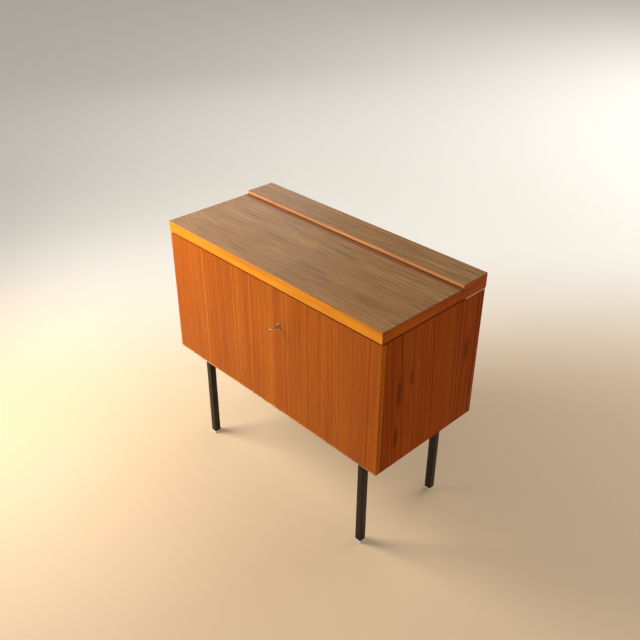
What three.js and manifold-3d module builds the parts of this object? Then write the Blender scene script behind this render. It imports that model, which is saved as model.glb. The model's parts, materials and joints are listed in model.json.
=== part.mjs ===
// A sewing cabinet on four square steel legs. Its top is split: the wide front part is a lid on a piano
// hinge, and the raised strip behind it is fixed. Two half-width tills slide under the lid. The whole
// front is a drop flap with a key lock and two slotted stays, and behind it are three pull-out trays on
// the left and an open bay with a shelf on the right.
// Millimetres, +Z up, +X to the right seen from the front, +Y to the back.
import * as THREE from "three";
import { mergeVertices } from "three/addons/utils/BufferGeometryUtils.js";
import Module from "manifold-3d";

const wasm = await Module();
wasm.setup();

// ---------------------------------------------------------------------------------------------------
// Driving dimensions. Inside the cabinet group, y = 0 is the flap's front face and z = 0 the underside
// of the carcase.
const GAP = 0.3; // between pieces that touch on the real cabinet
const WIDTH = 900;
const HALF = WIDTH / 2;
const BOARD = 16;
const INNER = HALF - BOARD; // inner face of each side
const CARCASE_BACK = 420;
const SIDE_TOP = 425.5;
const TOP_SEAT = 429.7; // top of the rails that the lid and the strip lie on
const BACK_THICK = 5;
const CARCASE_FRONT = BOARD + 1; // front edge of the sides, clear of the swinging flap
const BACK_FACE = CARCASE_BACK - BACK_THICK;

const TOP_UNDER = 430;
const LAMINATE = 1;
const LIPPING = 2;
const LID = { half: HALF, front: -2.6, back: 313.3, top: 465 };
const STRIP = { half: HALF + 0.45, front: 317.9, back: 422.5, top: 475.5 };

const FLAP = { bottom: 3.1, top: 423, thick: BOARD };

const RAIL_THICK = 16;
const RAIL_BOTTOM = 340;
const FRONT_RAIL_Y = [18, 18 + RAIL_THICK];
const HINGE_RAIL_Y = [318.5, 318.5 + RAIL_THICK];
const DIVIDER_TOP = 339;
const TRAY_WALL_X = [-420, -410];
const SHELF = { front: 42, bottom: 213, thick: 12 };

// Piano hinges: rolled knuckles on a thin pin, leaves folded face to face when shut.
const HINGE = { knuckle: 1.9, bore: 1.15, pin: 0.9, leaf: 0.75, pitch: 50, end: 1, root: 0.5, web: 0.2 };
const LID_AXIS = { y: 315.6, z: 465 };
const FLAP_AXIS = { y: 2, z: 0.9 };
const LID_LEAF = 15;
const FLAP_LEAF = 12.5;
const FLOOR_LEAF = 31;

// Slotted stays that hold the open flap level.
const STAY = { x: 429, thick: 2, half: 7, pivotY: 25, pivotZ: 190, opening: THREE.MathUtils.degToRad(24) };
const SLOT = { half: 2.75, spare: 1 };
const PIVOT = { radius: 2, end: 2.2 };
const BRACKET = { wide: 12, half: 16, thick: 1.7, lug: 7, nose: 6 };
const STUD = { radius: 2.2, foot: 6, footThick: 1.7, head: 4.8, headThick: 1.5, reach: 3 };

// Rim lock on the flap; its bolt shoots sideways into the partition. At rest the key stands part way
// through its quarter turn, so the bolt is part way out too, but still clear of the strike plate.
const KEYHOLE = { x: 59.4, z: 307 };
const PANEL_HOLE = { radius: 4, slot: 1.8, drop: 8.8 };
const PLATE = { radius: 9.8, below: 1.2, thick: 1.5, hole: { radius: 3.4, slot: 1.6, drop: 8.2 } };
const LOCK = { x: [14, 72], y: [FLAP.thick + GAP, 28], z: [277, 337], wall: 1.5, play: 0.5 };
const KEY_TURNED = THREE.MathUtils.degToRad(36);
const BOLT_TRAVEL = 10;
const BOLT_OUT = BOLT_TRAVEL * (KEY_TURNED / (Math.PI / 2));
const BOLT = { x: [13.7 - BOLT_OUT, 54 - BOLT_OUT], y: [19.5, 25.5], z: [299, 315] };
const BOLT_HOLE = { deep: 6, play: 1 };
const STRIKE = { y: [19, 40], half: 20, thick: 1, play: 0.6 };
const KEY = { tip: -40, end: 24, stem: 2.5, bowLong: 20, bowTall: 23, bowThick: 2.6, eye: 0.56 };
const COLLAR = { radius: 3.7, from: 1, to: 4 };
const BIT = { y: [17.8, 23.8], reach: 7.5, half: 1.1 };

// Pull-out trays and tills.
const TRAY = { x: [-404, -14], y: [20, 350], tall: 64, wall: 5, floor: 4, lip: 5, reach: 9.2 };
const HAND_DIP = { radius: 60, above: 38 };
const TRAY_BOTTOMS = { tray_bottom: 40, tray_middle: 140, tray_top: 240 };
const TRAY_CELLS = { tray_bottom: [1, 1], tray_middle: [2, 1], tray_top: [3, 2] };
const GROOVE = 4;
const TILL = { tall: 32.5, wall: 5, floor: 4, inner: 4, outer: 432.5, clear: 0.8 };
const FINGER_DIP = { radius: 24, above: 8 };
const LEDGE_BOTTOM = RAIL_BOTTOM + 1;
const LOWER_STEP = 352;
const UPPER_STEP = 389;
const STEP_DEEP = 8.2;

// Leg frame of square steel tube.
const TUBE = { side: 22, wall: 1.5 };
const LEG_X = 359.6;
const LEG_Y = [49, 380.5];
const LEG_TALL = 351; // floor to the underside of the carcase
const GLIDE = { side: 23, tall: 7, spigot: 12 };

const ARC_STEPS = 8;
const PAST = 1; // how far a cutter or a joined piece runs past the face it meets

// ---------------------------------------------------------------------------------------------------
// Finishes.
const finish = (color, roughness, metalness = 0) => ({ color, roughness, metalness });
const LAMINATE_TOP = finish(0x9a7550, 0.38);
const FRONT_EDGE = finish(0xe08a2c, 0.35);
const STRIP_EDGE = finish(0xcf7f46, 0.4);
const SIDE_EDGE = finish(0x6a2f10, 0.4);
const FRONT_TEAK = finish(0xc0662a, 0.42);
const SIDE_TEAK = finish(0x6e3210, 0.42);
const CHIPBOARD = finish(0xb08a5c, 0.85);
const PALE_WOOD = finish(0xd9bd8e, 0.6);
const PACKING = finish(0xe3c9a0, 0.7);
const HARDBOARD = finish(0x7a4f2c, 0.8);
const LEG_PAINT = finish(0x2b231c, 0.42, 0.3);
const WHITE_PLASTIC = finish(0xeeeae0, 0.45);
const BRASS = finish(0xa8884a, 0.4, 0.9);
const BROWN_BRASS = finish(0x4a3420, 0.5, 0.8);
const NICKEL = finish(0xb9b6ae, 0.3, 0.95);
const STEEL = finish(0x8d8a84, 0.4, 0.9);

// ---------------------------------------------------------------------------------------------------
// Small tools.
const mesh = (parent, name, geometry, look) => {
  const made = new THREE.Mesh(geometry, new THREE.MeshStandardMaterial(look));
  made.name = name;
  parent.add(made);
  return made;
};

const block = ([x0, x1], [y0, y1], [z0, z1]) => {
  const geometry = new THREE.BoxGeometry(x1 - x0, y1 - y0, z1 - z0);
  return geometry.translate((x0 + x1) / 2, (y0 + y1) / 2, (z0 + z1) / 2);
};

// A square-cut board, placed by its centre.
const board = (parent, name, look, [x0, x1], [y0, y1], [z0, z1]) => {
  const made = mesh(parent, name, new THREE.BoxGeometry(x1 - x0, y1 - y0, z1 - z0), look);
  made.position.set((x0 + x1) / 2, (y0 + y1) / 2, (z0 + z1) / 2);
  return made;
};

const extrude = (shape, depth) =>
  new THREE.ExtrudeGeometry(shape, { depth, bevelEnabled: false, curveSegments: ARC_STEPS });

// A section drawn in (y, z), pulled along x.
const alongX = (shape, [x0, x1]) => {
  const turn = new THREE.Matrix4().makeBasis(
    new THREE.Vector3(0, 1, 0),
    new THREE.Vector3(0, 0, 1),
    new THREE.Vector3(1, 0, 0),
  );
  return extrude(shape, x1 - x0).applyMatrix4(turn).translate(x0, 0, 0);
};

// A section drawn in (x, z), pulled along y.
const alongY = (shape, [y0, y1]) =>
  extrude(shape, y1 - y0).rotateX(Math.PI / 2).translate(0, y1, 0);

// A section drawn in (x, y), pulled along z.
const alongZ = (shape, [z0, z1]) => extrude(shape, z1 - z0).translate(0, 0, z0);

const polygon = (points) => new THREE.Shape(points.map(([a, b]) => new THREE.Vector2(a, b)));

const disc = (a, b, radius) => new THREE.Shape().absarc(a, b, radius, 0, 2 * Math.PI);

// A slot with round ends from a0 to a1 (centres of the ends) along the first axis.
const slot = (a0, a1, half) => {
  const shape = new THREE.Shape();
  shape.absarc(a1, 0, half, -Math.PI / 2, Math.PI / 2);
  shape.absarc(a0, 0, half, Math.PI / 2, 1.5 * Math.PI);
  return shape.closePath();
};

const solid = (geometry) => {
  const bare = geometry.index ? geometry.toNonIndexed() : geometry.clone();
  bare.deleteAttribute("normal");
  bare.deleteAttribute("uv");
  const merged = mergeVertices(bare, 1e-4);
  const vertProperties = merged.attributes.position.array;
  const triVerts = new Uint32Array(merged.index.array);
  return new wasm.Manifold(new wasm.Mesh({ numProp: 3, vertProperties, triVerts }));
};

const geometryOf = (manifold) => {
  const { vertProperties, triVerts } = manifold.getMesh();
  const geometry = new THREE.BufferGeometry();
  geometry.setAttribute("position", new THREE.BufferAttribute(vertProperties, 3));
  geometry.setIndex(new THREE.BufferAttribute(triVerts, 1));
  const faceted = geometry.toNonIndexed();
  faceted.computeVertexNormals();
  return faceted;
};

const join = (...geometries) => geometries.map(solid).reduce((all, one) => all.add(one));
const cut = (body, ...geometries) => geometries.map(solid).reduce((left, one) => left.subtract(one), body);

// Both hands of a piece: calls make(side name, sign of x).
const bothSides = (make) => {
  make("left", -1);
  make("right", 1);
};
const span = (a, b) => [Math.min(a, b), Math.max(a, b)];
const grow = ([a, b], play) => [a - play, b + play];

// ---------------------------------------------------------------------------------------------------
// One group for each rigid body.
const cabinet = new THREE.Group();
const body = () => {
  const group = new THREE.Group();
  cabinet.add(group);
  return group;
};
const lid = body();
const flap = body();
const trays = body();
const tills = body();
const stays = body();
const legFrame = body();

// ---------------------------------------------------------------------------------------------------
// Carcase: sides, bottom, back, partition, the wall beside the trays, a shelf and two top rails.
const BETWEEN = [-INNER + GAP, INNER - GAP];
const INSIDE_BACK = BACK_FACE - GAP;

// A groove for a tray's lip, cut into an upright face at x = face towards the given side.
const grooves = (face, towards) =>
  Object.values(TRAY_BOTTOMS).map((bottom) => {
    const top = bottom + TRAY.tall;
    const x = span(face - towards * PAST, face + towards * GROOVE);
    return block(x, [CARCASE_FRONT - PAST, CARCASE_BACK], [top - TRAY.lip - GAP, top + 2 * GAP]);
  });

function addCarcase() {
  bothSides((side, sign) => {
    const x = span(sign * INNER, sign * HALF);
    board(cabinet, `${side}_side`, SIDE_TEAK, x, [CARCASE_FRONT, CARCASE_BACK], [0, SIDE_TOP]);
    const packing = [STRIP.front + BOARD + GAP, CARCASE_BACK];
    board(cabinet, `strip_packing_${side}`, PACKING, x, packing, [SIDE_TOP + GAP, TOP_SEAT]);
  });
  board(cabinet, "bottom_board", CHIPBOARD, BETWEEN, [CARCASE_FRONT, INSIDE_BACK], [0, BOARD]);
  board(cabinet, "back_board", HARDBOARD, BETWEEN, [BACK_FACE, CARCASE_BACK], [0, TOP_SEAT]);
  board(cabinet, "front_rail", PALE_WOOD, BETWEEN, FRONT_RAIL_Y, [RAIL_BOTTOM, TOP_SEAT]);
  board(cabinet, "hinge_rail", PALE_WOOD, BETWEEN, HINGE_RAIL_Y, [RAIL_BOTTOM, TOP_SEAT]);

  const upright = [BOARD + GAP, DIVIDER_TOP];
  const depth = [CARCASE_FRONT + 1, INSIDE_BACK];
  const half = BOARD / 2;
  const boltHole = block(
    [half - BOLT_HOLE.deep, half + PAST],
    grow(BOLT.y, BOLT_HOLE.play),
    grow(BOLT.z, BOLT_HOLE.play),
  );
  const partition = cut(join(block([-half, half], depth, upright)), ...grooves(-half, 1), boltHole);
  mesh(cabinet, "partition", geometryOf(partition), PALE_WOOD);
  const wall = cut(join(block(TRAY_WALL_X, depth, upright)), ...grooves(TRAY_WALL_X[1], -1));
  mesh(cabinet, "tray_wall", geometryOf(wall), PALE_WOOD);

  const shelfX = [half + GAP, INNER - GAP];
  const shelfZ = [SHELF.bottom, SHELF.bottom + SHELF.thick];
  board(cabinet, "bay_shelf", PALE_WOOD, shelfX, [SHELF.front, INSIDE_BACK], shelfZ);
}

// Stepped ledges on the rails: the outer, higher step carries the upper till, the inner one the lower.
function addLedges() {
  const ledge = (name, face, inwards) => {
    const y = (distance) => face + inwards * distance;
    const points = [
      [y(GAP), LEDGE_BOTTOM],
      [y(2 * STEP_DEEP + GAP), LEDGE_BOTTOM],
      [y(2 * STEP_DEEP + GAP), LOWER_STEP],
      [y(STEP_DEEP + GAP), LOWER_STEP],
      [y(STEP_DEEP + GAP), UPPER_STEP],
      [y(GAP), UPPER_STEP],
    ];
    mesh(cabinet, name, alongX(polygon(points), BETWEEN), PALE_WOOD);
  };
  ledge("till_ledge_front", FRONT_RAIL_Y[1], 1);
  ledge("till_ledge_back", HINGE_RAIL_Y[0], -1);
}

// ---------------------------------------------------------------------------------------------------
// The two halves of the top: a core, a laminate sheet over it, and lippings on the seen edges.
// The lippings meet in mitres at the front corners.
function addTop(parent, name, size, frontLook) {
  const { half, front, back, top } = size;
  const height = [TOP_UNDER, top - LAMINATE - GAP];
  const inside = half - LIPPING;
  const lippingBack = front + LIPPING;
  const mitreGap = GAP * Math.SQRT2;
  const coreHalf = inside - GAP;
  board(parent, `${name}_core`, CHIPBOARD, [-coreHalf, coreHalf], [lippingBack + GAP, back], height);
  board(parent, `${name}_laminate`, LAMINATE_TOP, [-half, half], [front, back], [top - LAMINATE, top]);
  const long = [[-half, front], [half, front], [inside, lippingBack], [-inside, lippingBack]];
  mesh(parent, `${name}_front_lipping`, alongZ(polygon(long), height), frontLook);
  bothSides((side, sign) => {
    const points = [
      [sign * half, front + mitreGap],
      [sign * half, back],
      [sign * inside, back],
      [sign * inside, lippingBack + mitreGap],
    ];
    mesh(parent, `${name}_${side}_lipping`, alongZ(polygon(points), height), SIDE_EDGE);
  });
}

// ---------------------------------------------------------------------------------------------------
// Piano hinges. Drawn with the pin at the origin and the leaf hanging down on the side given by sign.
function hingeLeaf(sign, wide, firstKnuckle) {
  const outer = sign * HINGE.knuckle;
  const inner = sign * (HINGE.knuckle - HINGE.leaf);
  const ring = disc(0, 0, HINGE.knuckle);
  ring.holes.push(disc(0, 0, HINGE.bore));
  const below = -(HINGE.knuckle + 2 * GAP);
  const pieces = [block([-HALF + HINGE.end, HALF - HINGE.end], span(inner, outer), [-wide, below])];
  for (let k = firstKnuckle; k < WIDTH / HINGE.pitch; k += 2) {
    const start = k === 0 ? HINGE.end : GAP / 2;
    const end = (k + 1) * HINGE.pitch >= WIDTH ? HINGE.end : GAP / 2;
    const x = [-HALF + k * HINGE.pitch + start, -HALF + (k + 1) * HINGE.pitch - end];
    pieces.push(alongX(ring, x), block(x, span(inner, outer), [below - HINGE.root, -HINGE.web]));
  }
  return geometryOf(join(...pieces));
}

function addHinges() {
  const pin = () => alongX(disc(0, 0, HINGE.pin), [-HALF + HINGE.end, HALF - HINGE.end]);
  const lidLeaf = mesh(lid, "lid_hinge_leaf", hingeLeaf(-1, LID_LEAF, 0), BROWN_BRASS);
  const stripLeaf = mesh(cabinet, "strip_hinge_leaf", hingeLeaf(1, LID_LEAF, 1), BROWN_BRASS);
  const lidPin = mesh(cabinet, "lid_hinge_pin", pin(), STEEL);
  [lidLeaf, stripLeaf, lidPin].forEach((piece) => piece.position.set(0, LID_AXIS.y, LID_AXIS.z));

  // The flap's hinge is the same section lying on its back, with its leaves running under the boards.
  const flapLeaf = mesh(flap, "flap_hinge_leaf", hingeLeaf(1, FLAP_LEAF, 0), BRASS);
  const floorLeaf = mesh(cabinet, "floor_hinge_leaf", hingeLeaf(-1, FLOOR_LEAF, 1), BRASS);
  const flapPin = mesh(cabinet, "flap_hinge_pin", pin(), STEEL);
  [flapLeaf, floorLeaf, flapPin].forEach((piece) => {
    piece.rotation.x = Math.PI / 2;
    piece.position.set(0, FLAP_AXIS.y, FLAP_AXIS.z);
  });
}

// ---------------------------------------------------------------------------------------------------
// Flap, escutcheon, lock and key.
function keyholeShape({ radius, slot: half, drop }) {
  const shoulder = Math.asin(half / radius);
  const shape = new THREE.Shape();
  shape.absarc(KEYHOLE.x, KEYHOLE.z, radius, -Math.PI / 2 + shoulder, 1.5 * Math.PI - shoulder);
  shape.lineTo(KEYHOLE.x - half, KEYHOLE.z - drop);
  shape.lineTo(KEYHOLE.x + half, KEYHOLE.z - drop);
  return shape.closePath();
}

function addFlap() {
  const whole = join(block([-HALF, HALF], [0, FLAP.thick], [FLAP.bottom, FLAP.top]));
  const hole = alongY(keyholeShape(PANEL_HOLE), [-PAST, FLAP.thick + PAST]);
  mesh(flap, "flap_panel", geometryOf(cut(whole, hole)), FRONT_TEAK);

  const plate = disc(KEYHOLE.x, KEYHOLE.z - PLATE.below, PLATE.radius);
  plate.holes.push(keyholeShape(PLATE.hole));
  mesh(flap, "escutcheon", alongY(plate, [-GAP - PLATE.thick, -GAP]), NICKEL);
}

function addLock() {
  const { x, y, z, wall, play } = LOCK;
  const hollow = block([x[0] + wall, x[1] - wall], [y[0] - PAST, y[1] - wall], [z[0] + wall, z[1] - wall]);
  const mouth = block([x[0] - PAST, x[0] + 2 * wall], grow(BOLT.y, play), grow(BOLT.z, play));
  mesh(flap, "lock_case", geometryOf(cut(join(block(x, y, z)), hollow, mouth)), STEEL);
  mesh(flap, "lock_bolt", block(BOLT.x, BOLT.y, BOLT.z), BRASS);

  const face = [BOARD / 2 + GAP, BOARD / 2 + GAP + STRIKE.thick];
  const plate = join(block(face, STRIKE.y, grow([KEYHOLE.z, KEYHOLE.z], STRIKE.half)));
  const window = block(grow(face, PAST), grow(BOLT.y, STRIKE.play), grow(BOLT.z, STRIKE.play));
  mesh(cabinet, "strike_plate", geometryOf(cut(plate, window)), BRASS);
}

// The key stands in the lock: an oval bow, a round stem with a collar, and a bit, drawn with the bit
// pointing down and then turned about the stem.
function addKey() {
  const { tip, end, stem, bowLong, bowTall, bowThick, eye } = KEY;
  const bowCentre = tip + bowLong / 2;
  const oval = (Outline, share) =>
    new Outline().absellipse(bowCentre, 0, share * bowLong / 2, share * bowTall / 2, 0, 2 * Math.PI);
  const bow = oval(THREE.Shape, 1);
  bow.holes.push(oval(THREE.Path, eye));
  const bowEnd = tip + bowLong;
  const parts = [
    alongX(bow, [-bowThick / 2, bowThick / 2]),
    alongY(disc(0, 0, stem), [bowEnd - stem, end]),
    alongY(disc(0, 0, COLLAR.radius), [bowEnd + COLLAR.from, bowEnd + COLLAR.to]),
    block([-BIT.half, BIT.half], BIT.y, [-BIT.reach, -PAST]),
  ];
  const key = mesh(flap, "key", geometryOf(join(...parts)), NICKEL);
  key.rotation.y = KEY_TURNED;
  key.position.set(KEYHOLE.x, 0, KEYHOLE.z);
}

// ---------------------------------------------------------------------------------------------------
// Stays. The pivot on the flap and the stud on the side lie on one circle about the flap's hinge, so a
// stay turns through exactly half of the flap's angle while the stud runs along its slot.
function addStays() {
  const armY = STAY.pivotY - FLAP_AXIS.y;
  const armZ = STAY.pivotZ - FLAP_AXIS.z;
  const radius = Math.hypot(armY, armZ);
  const studAngle = Math.atan2(armZ, armY) - STAY.opening;
  const studY = FLAP_AXIS.y + radius * Math.cos(studAngle);
  const studZ = FLAP_AXIS.z + radius * Math.sin(studAngle);
  const shut = 2 * radius * Math.sin(STAY.opening / 2);
  const open = 2 * radius * Math.sin(STAY.opening / 2 + Math.PI / 4);
  const lean = Math.atan2(studZ - STAY.pivotZ, studY - STAY.pivotY);

  const inner = STAY.x - STAY.thick / 2;

  bothSides((side, sign) => {
    const at = (near, far) => span(sign * near, sign * far);
    const bar = slot(0, open + STAY.half, STAY.half);
    const run = slot(shut - SLOT.spare, open + SLOT.spare, SLOT.half);
    bar.holes.push(run, disc(0, 0, PIVOT.radius + GAP));
    const stay = mesh(stays, `stay_${side}`, alongX(bar, at(inner, STAY.x + STAY.thick / 2)), STEEL);
    stay.rotation.x = lean;
    stay.position.set(0, STAY.pivotY, STAY.pivotZ);

    const wideX = at(INNER - PAST - BRACKET.wide, INNER - PAST);
    const backOfPanel = FLAP.thick + GAP;
    const pivot = [STAY.pivotZ, STAY.pivotZ];
    const bracket = join(
      block(wideX, [backOfPanel, backOfPanel + BRACKET.thick], grow(pivot, BRACKET.half)),
      block(
        at(inner - STUD.reach, inner - GAP),
        [backOfPanel + BRACKET.thick / 2, STAY.pivotY + BRACKET.nose],
        grow(pivot, BRACKET.lug),
      ),
      alongX(disc(STAY.pivotY, STAY.pivotZ, PIVOT.radius), at(inner - STUD.reach / 2, STAY.x + PIVOT.end)),
    );
    mesh(flap, `stay_bracket_${side}`, geometryOf(bracket), STEEL);

    const headEnd = inner - STUD.reach / 2;
    const stud = join(
      alongX(disc(studY, studZ, STUD.foot), at(INNER - GAP - STUD.footThick, INNER - GAP)),
      alongX(disc(studY, studZ, STUD.radius), at(headEnd, INNER - PAST)),
      alongX(disc(studY, studZ, STUD.head), at(inner - GAP - STUD.headThick, inner - GAP)),
    );
    mesh(cabinet, `stay_stud_${side}`, geometryOf(stud), STEEL);
  });
}

// ---------------------------------------------------------------------------------------------------
// Open boxes with dividers, for the trays and the tills.
function openBox(x, y, z, [columns, rows], wall, floor) {
  const cellX = (x[1] - x[0] - wall * (columns + 1)) / columns;
  const cellY = (y[1] - y[0] - wall * (rows + 1)) / rows;
  const cells = [];
  for (let i = 0; i < columns; i += 1) {
    for (let j = 0; j < rows; j += 1) {
      const left = x[0] + wall + i * (cellX + wall);
      const front = y[0] + wall + j * (cellY + wall);
      cells.push(block([left, left + cellX], [front, front + cellY], [z[0] + floor, z[1] + PAST]));
    }
  }
  return cut(join(block(x, y, z)), ...cells);
}

// Three trays that pull out to the front on lips which run in grooves.
function addTrays() {
  const { x, y, wall, floor, lip, reach } = TRAY;
  Object.entries(TRAY_BOTTOMS).forEach(([name, bottom]) => {
    const top = bottom + TRAY.tall;
    const box = openBox(x, y, [bottom, top], TRAY_CELLS[name], wall, floor);
    const lips = join(
      block([x[0] - reach, x[0] + PAST], y, [top - lip, top]),
      block([x[1] - PAST, x[1] + reach], y, [top - lip, top]),
    );
    const dip = disc((x[0] + x[1]) / 2, top + HAND_DIP.above, HAND_DIP.radius);
    const hand = alongY(dip, [y[0] - PAST, y[0] + wall]);
    mesh(trays, name, geometryOf(cut(box.add(lips), hand)), PALE_WOOD);
  });
}

// Two tills, each half the cabinet's width, that slide past each other on the ledges.
function addTills() {
  const till = (name, x, y, bottom, cells, inEnd) => {
    const z = [bottom + GAP, bottom + GAP + TILL.tall];
    const box = openBox(x, y, z, cells, TILL.wall, TILL.floor);
    const grip = alongX(disc((y[0] + y[1]) / 2, z[1] + FINGER_DIP.above, FINGER_DIP.radius), inEnd);
    mesh(tills, name, geometryOf(cut(box, grip)), PALE_WOOD);
  };
  const upperY = [FRONT_RAIL_Y[1] + TILL.clear, HINGE_RAIL_Y[0] - TILL.clear];
  const step = STEP_DEEP + GAP;
  const lowerY = [upperY[0] + step, upperY[1] - step];
  const nearEnd = [TILL.inner - PAST, TILL.inner + TILL.wall];
  till("till_upper", [-TILL.outer, -TILL.inner], upperY, UPPER_STEP, [3, 2], [-nearEnd[1], -nearEnd[0]]);
  till("till_lower", [TILL.inner, TILL.outer], lowerY, LOWER_STEP, [2, 2], nearEnd);
}

// ---------------------------------------------------------------------------------------------------
// Leg frame: four legs and four rails of square tube, tight under the carcase, and a glide in each foot.
const squareTube = () => {
  const ring = (half) => polygon([[-half, -half], [half, -half], [half, half], [-half, half]]);
  const shape = ring(TUBE.side / 2);
  shape.holes.push(ring(TUBE.side / 2 - TUBE.wall));
  return shape;
};

function addLegFrame() {
  const half = TUBE.side / 2;
  const railZ = -GAP - half;
  const footTop = -LEG_TALL + GLIDE.tall;
  const spigot = half - TUBE.wall - GAP;
  const glideHalf = [-GLIDE.side / 2, GLIDE.side / 2];
  LEG_Y.forEach((y, row) => {
    const place = row === 0 ? "front" : "back";
    bothSides((side, sign) => {
      const tube = alongZ(squareTube(), [footTop + GAP, -GAP]);
      const leg = mesh(legFrame, `leg_${place}_${side}`, tube, LEG_PAINT);
      leg.position.set(sign * LEG_X, y, 0);
      const glide = join(
        block(glideHalf, glideHalf, [-LEG_TALL, footTop]),
        block([-spigot, spigot], [-spigot, spigot], [footTop - PAST, footTop + GLIDE.spigot]),
      );
      const foot = mesh(legFrame, `glide_${place}_${side}`, geometryOf(glide), WHITE_PLASTIC);
      foot.position.set(sign * LEG_X, y, 0);
    });
    const reach = LEG_X - half - GAP;
    const rail = mesh(legFrame, `frame_rail_${place}`, alongX(squareTube(), [-reach, reach]), LEG_PAINT);
    rail.position.set(0, y, railZ);
  });
  bothSides((side, sign) => {
    const between = [LEG_Y[0] + half + GAP, LEG_Y[1] - half - GAP];
    const rail = mesh(legFrame, `frame_rail_${side}`, alongY(squareTube(), between), LEG_PAINT);
    rail.position.set(sign * LEG_X, 0, railZ);
  });
}

addCarcase();
addLedges();
addTop(cabinet, "strip", STRIP, STRIP_EDGE);
addTop(lid, "lid", LID, FRONT_EDGE);
addHinges();
addFlap();
addLock();
addKey();
addStays();
addTrays();
addTills();
addLegFrame();

// The part's origin is on the floor, below the middle of its footprint with the key standing in the lock.
cabinet.position.set(0, -(KEY.tip + STRIP.back) / 2, LEG_TALL);

const part = new THREE.Group();
part.name = "sewing_cabinet";
part.add(cabinet);

export default part;
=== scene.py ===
# %% [markdown]
# # A sewing cabinet with a split top
# This lesson dresses a finished CAD model of a sewing cabinet: a teak-veneered box on black steel legs,
# with a walnut-pattern laminate top whose front part lifts, a locking flap, trays and tills.
# The CAD model arrives as a fixed frame. Each visible piece is modelled again over its CAD solid with
# eased edges, so that light catches an edge as it does on real boards, and gets a material made of
# nodes. Nothing is moved: every place and size is read from the frame.

# %% Load the frame
import json
import math
import random

import bpy
from mathutils import Matrix, Vector

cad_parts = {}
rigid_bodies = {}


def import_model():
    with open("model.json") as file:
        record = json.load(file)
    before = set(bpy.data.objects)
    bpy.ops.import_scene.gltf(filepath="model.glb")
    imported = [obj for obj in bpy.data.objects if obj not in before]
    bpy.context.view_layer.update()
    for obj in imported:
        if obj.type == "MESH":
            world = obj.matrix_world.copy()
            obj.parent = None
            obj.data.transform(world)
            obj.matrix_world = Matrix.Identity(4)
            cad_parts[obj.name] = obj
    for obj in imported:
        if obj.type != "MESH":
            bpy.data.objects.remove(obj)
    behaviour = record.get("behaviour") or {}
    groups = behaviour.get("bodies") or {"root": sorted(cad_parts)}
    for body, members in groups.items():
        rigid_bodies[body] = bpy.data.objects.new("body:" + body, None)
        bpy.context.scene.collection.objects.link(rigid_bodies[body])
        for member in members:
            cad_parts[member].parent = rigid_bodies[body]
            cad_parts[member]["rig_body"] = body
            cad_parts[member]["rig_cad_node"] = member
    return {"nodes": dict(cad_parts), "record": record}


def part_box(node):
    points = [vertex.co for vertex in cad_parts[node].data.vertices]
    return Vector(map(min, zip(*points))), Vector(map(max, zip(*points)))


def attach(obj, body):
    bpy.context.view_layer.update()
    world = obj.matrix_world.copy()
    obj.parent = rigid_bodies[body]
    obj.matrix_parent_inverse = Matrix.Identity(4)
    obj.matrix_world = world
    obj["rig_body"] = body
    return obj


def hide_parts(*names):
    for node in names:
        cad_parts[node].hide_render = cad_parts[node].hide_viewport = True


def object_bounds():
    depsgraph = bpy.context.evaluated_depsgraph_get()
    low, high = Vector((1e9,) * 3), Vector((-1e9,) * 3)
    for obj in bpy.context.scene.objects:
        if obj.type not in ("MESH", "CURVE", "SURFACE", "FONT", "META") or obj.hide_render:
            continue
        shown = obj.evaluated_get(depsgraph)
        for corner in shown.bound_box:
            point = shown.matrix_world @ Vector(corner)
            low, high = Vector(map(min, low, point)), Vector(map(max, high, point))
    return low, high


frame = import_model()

CAD_LOW, CAD_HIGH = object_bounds()
MM = 0.001
QUARTER = math.pi / 2
print("frame loaded:", len(frame["nodes"]), "nodes, box", [round(v, 4) for v in CAD_HIGH - CAD_LOW])


# %% [markdown]
# ## The camera
# A product picture starts with its viewpoint, because every later choice is judged from there. This
# cabinet is seen from above and to the right, by someone standing. The viewpoint is given in widths of
# the cabinet, measured from the lower left corner of its front, so it follows the cabinet's own size.

# %% Camera
FLAP_LOW, FLAP_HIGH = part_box("flap_panel")
SIDE_LOW, SIDE_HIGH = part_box("right_side")
WIDTH = FLAP_HIGH.x - FLAP_LOW.x
EYE_IN_WIDTHS = Vector((2.1647, -1.3639, 1.6526))
TURN, TILT, ROLL = math.radians(45.97), math.radians(31.56), math.radians(0.31)
LENS_MM, SENSOR_MM, FAR_CLIP = 44.22, 36, 60

front_corner = Vector((FLAP_LOW.x, FLAP_LOW.y, SIDE_LOW.z))
bpy.ops.object.select_all(action="DESELECT")
bpy.ops.object.camera_add(location=front_corner + EYE_IN_WIDTHS * WIDTH)
camera = bpy.context.object
camera.name = "standing_view"
look = Vector((-math.sin(TURN) * math.cos(TILT), math.cos(TURN) * math.cos(TILT), -math.sin(TILT)))
camera.rotation_mode = "QUATERNION"
camera.rotation_quaternion = look.to_track_quat("-Z", "Y") @ Matrix.Rotation(ROLL, 3, "Z").to_quaternion()
camera.data.lens = LENS_MM
camera.data.sensor_width = SENSOR_MM
camera.data.clip_end = FAR_CLIP
bpy.context.scene.camera = camera
print("camera at", [round(v, 3) for v in camera.location])


# %% [markdown]
# ## Wiring nodes
# Materials are graphs of nodes. A few small helpers keep the graphs readable: one adds a node and fills
# its sockets, from values or from other nodes, some stand for the nodes that come up most, such as sums,
# mixes and noise, and one opens a new group with named sockets.

# %% Helpers that add nodes
def fill(tree, socket, value):
    """Fills a socket with a number, a vector, a colour or an output of another node."""
    if isinstance(value, bpy.types.NodeSocket):
        tree.links.new(value, socket)
    elif socket.type == "RGBA":
        socket.default_value = (*value, 1)
    else:
        socket.default_value = value


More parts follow.
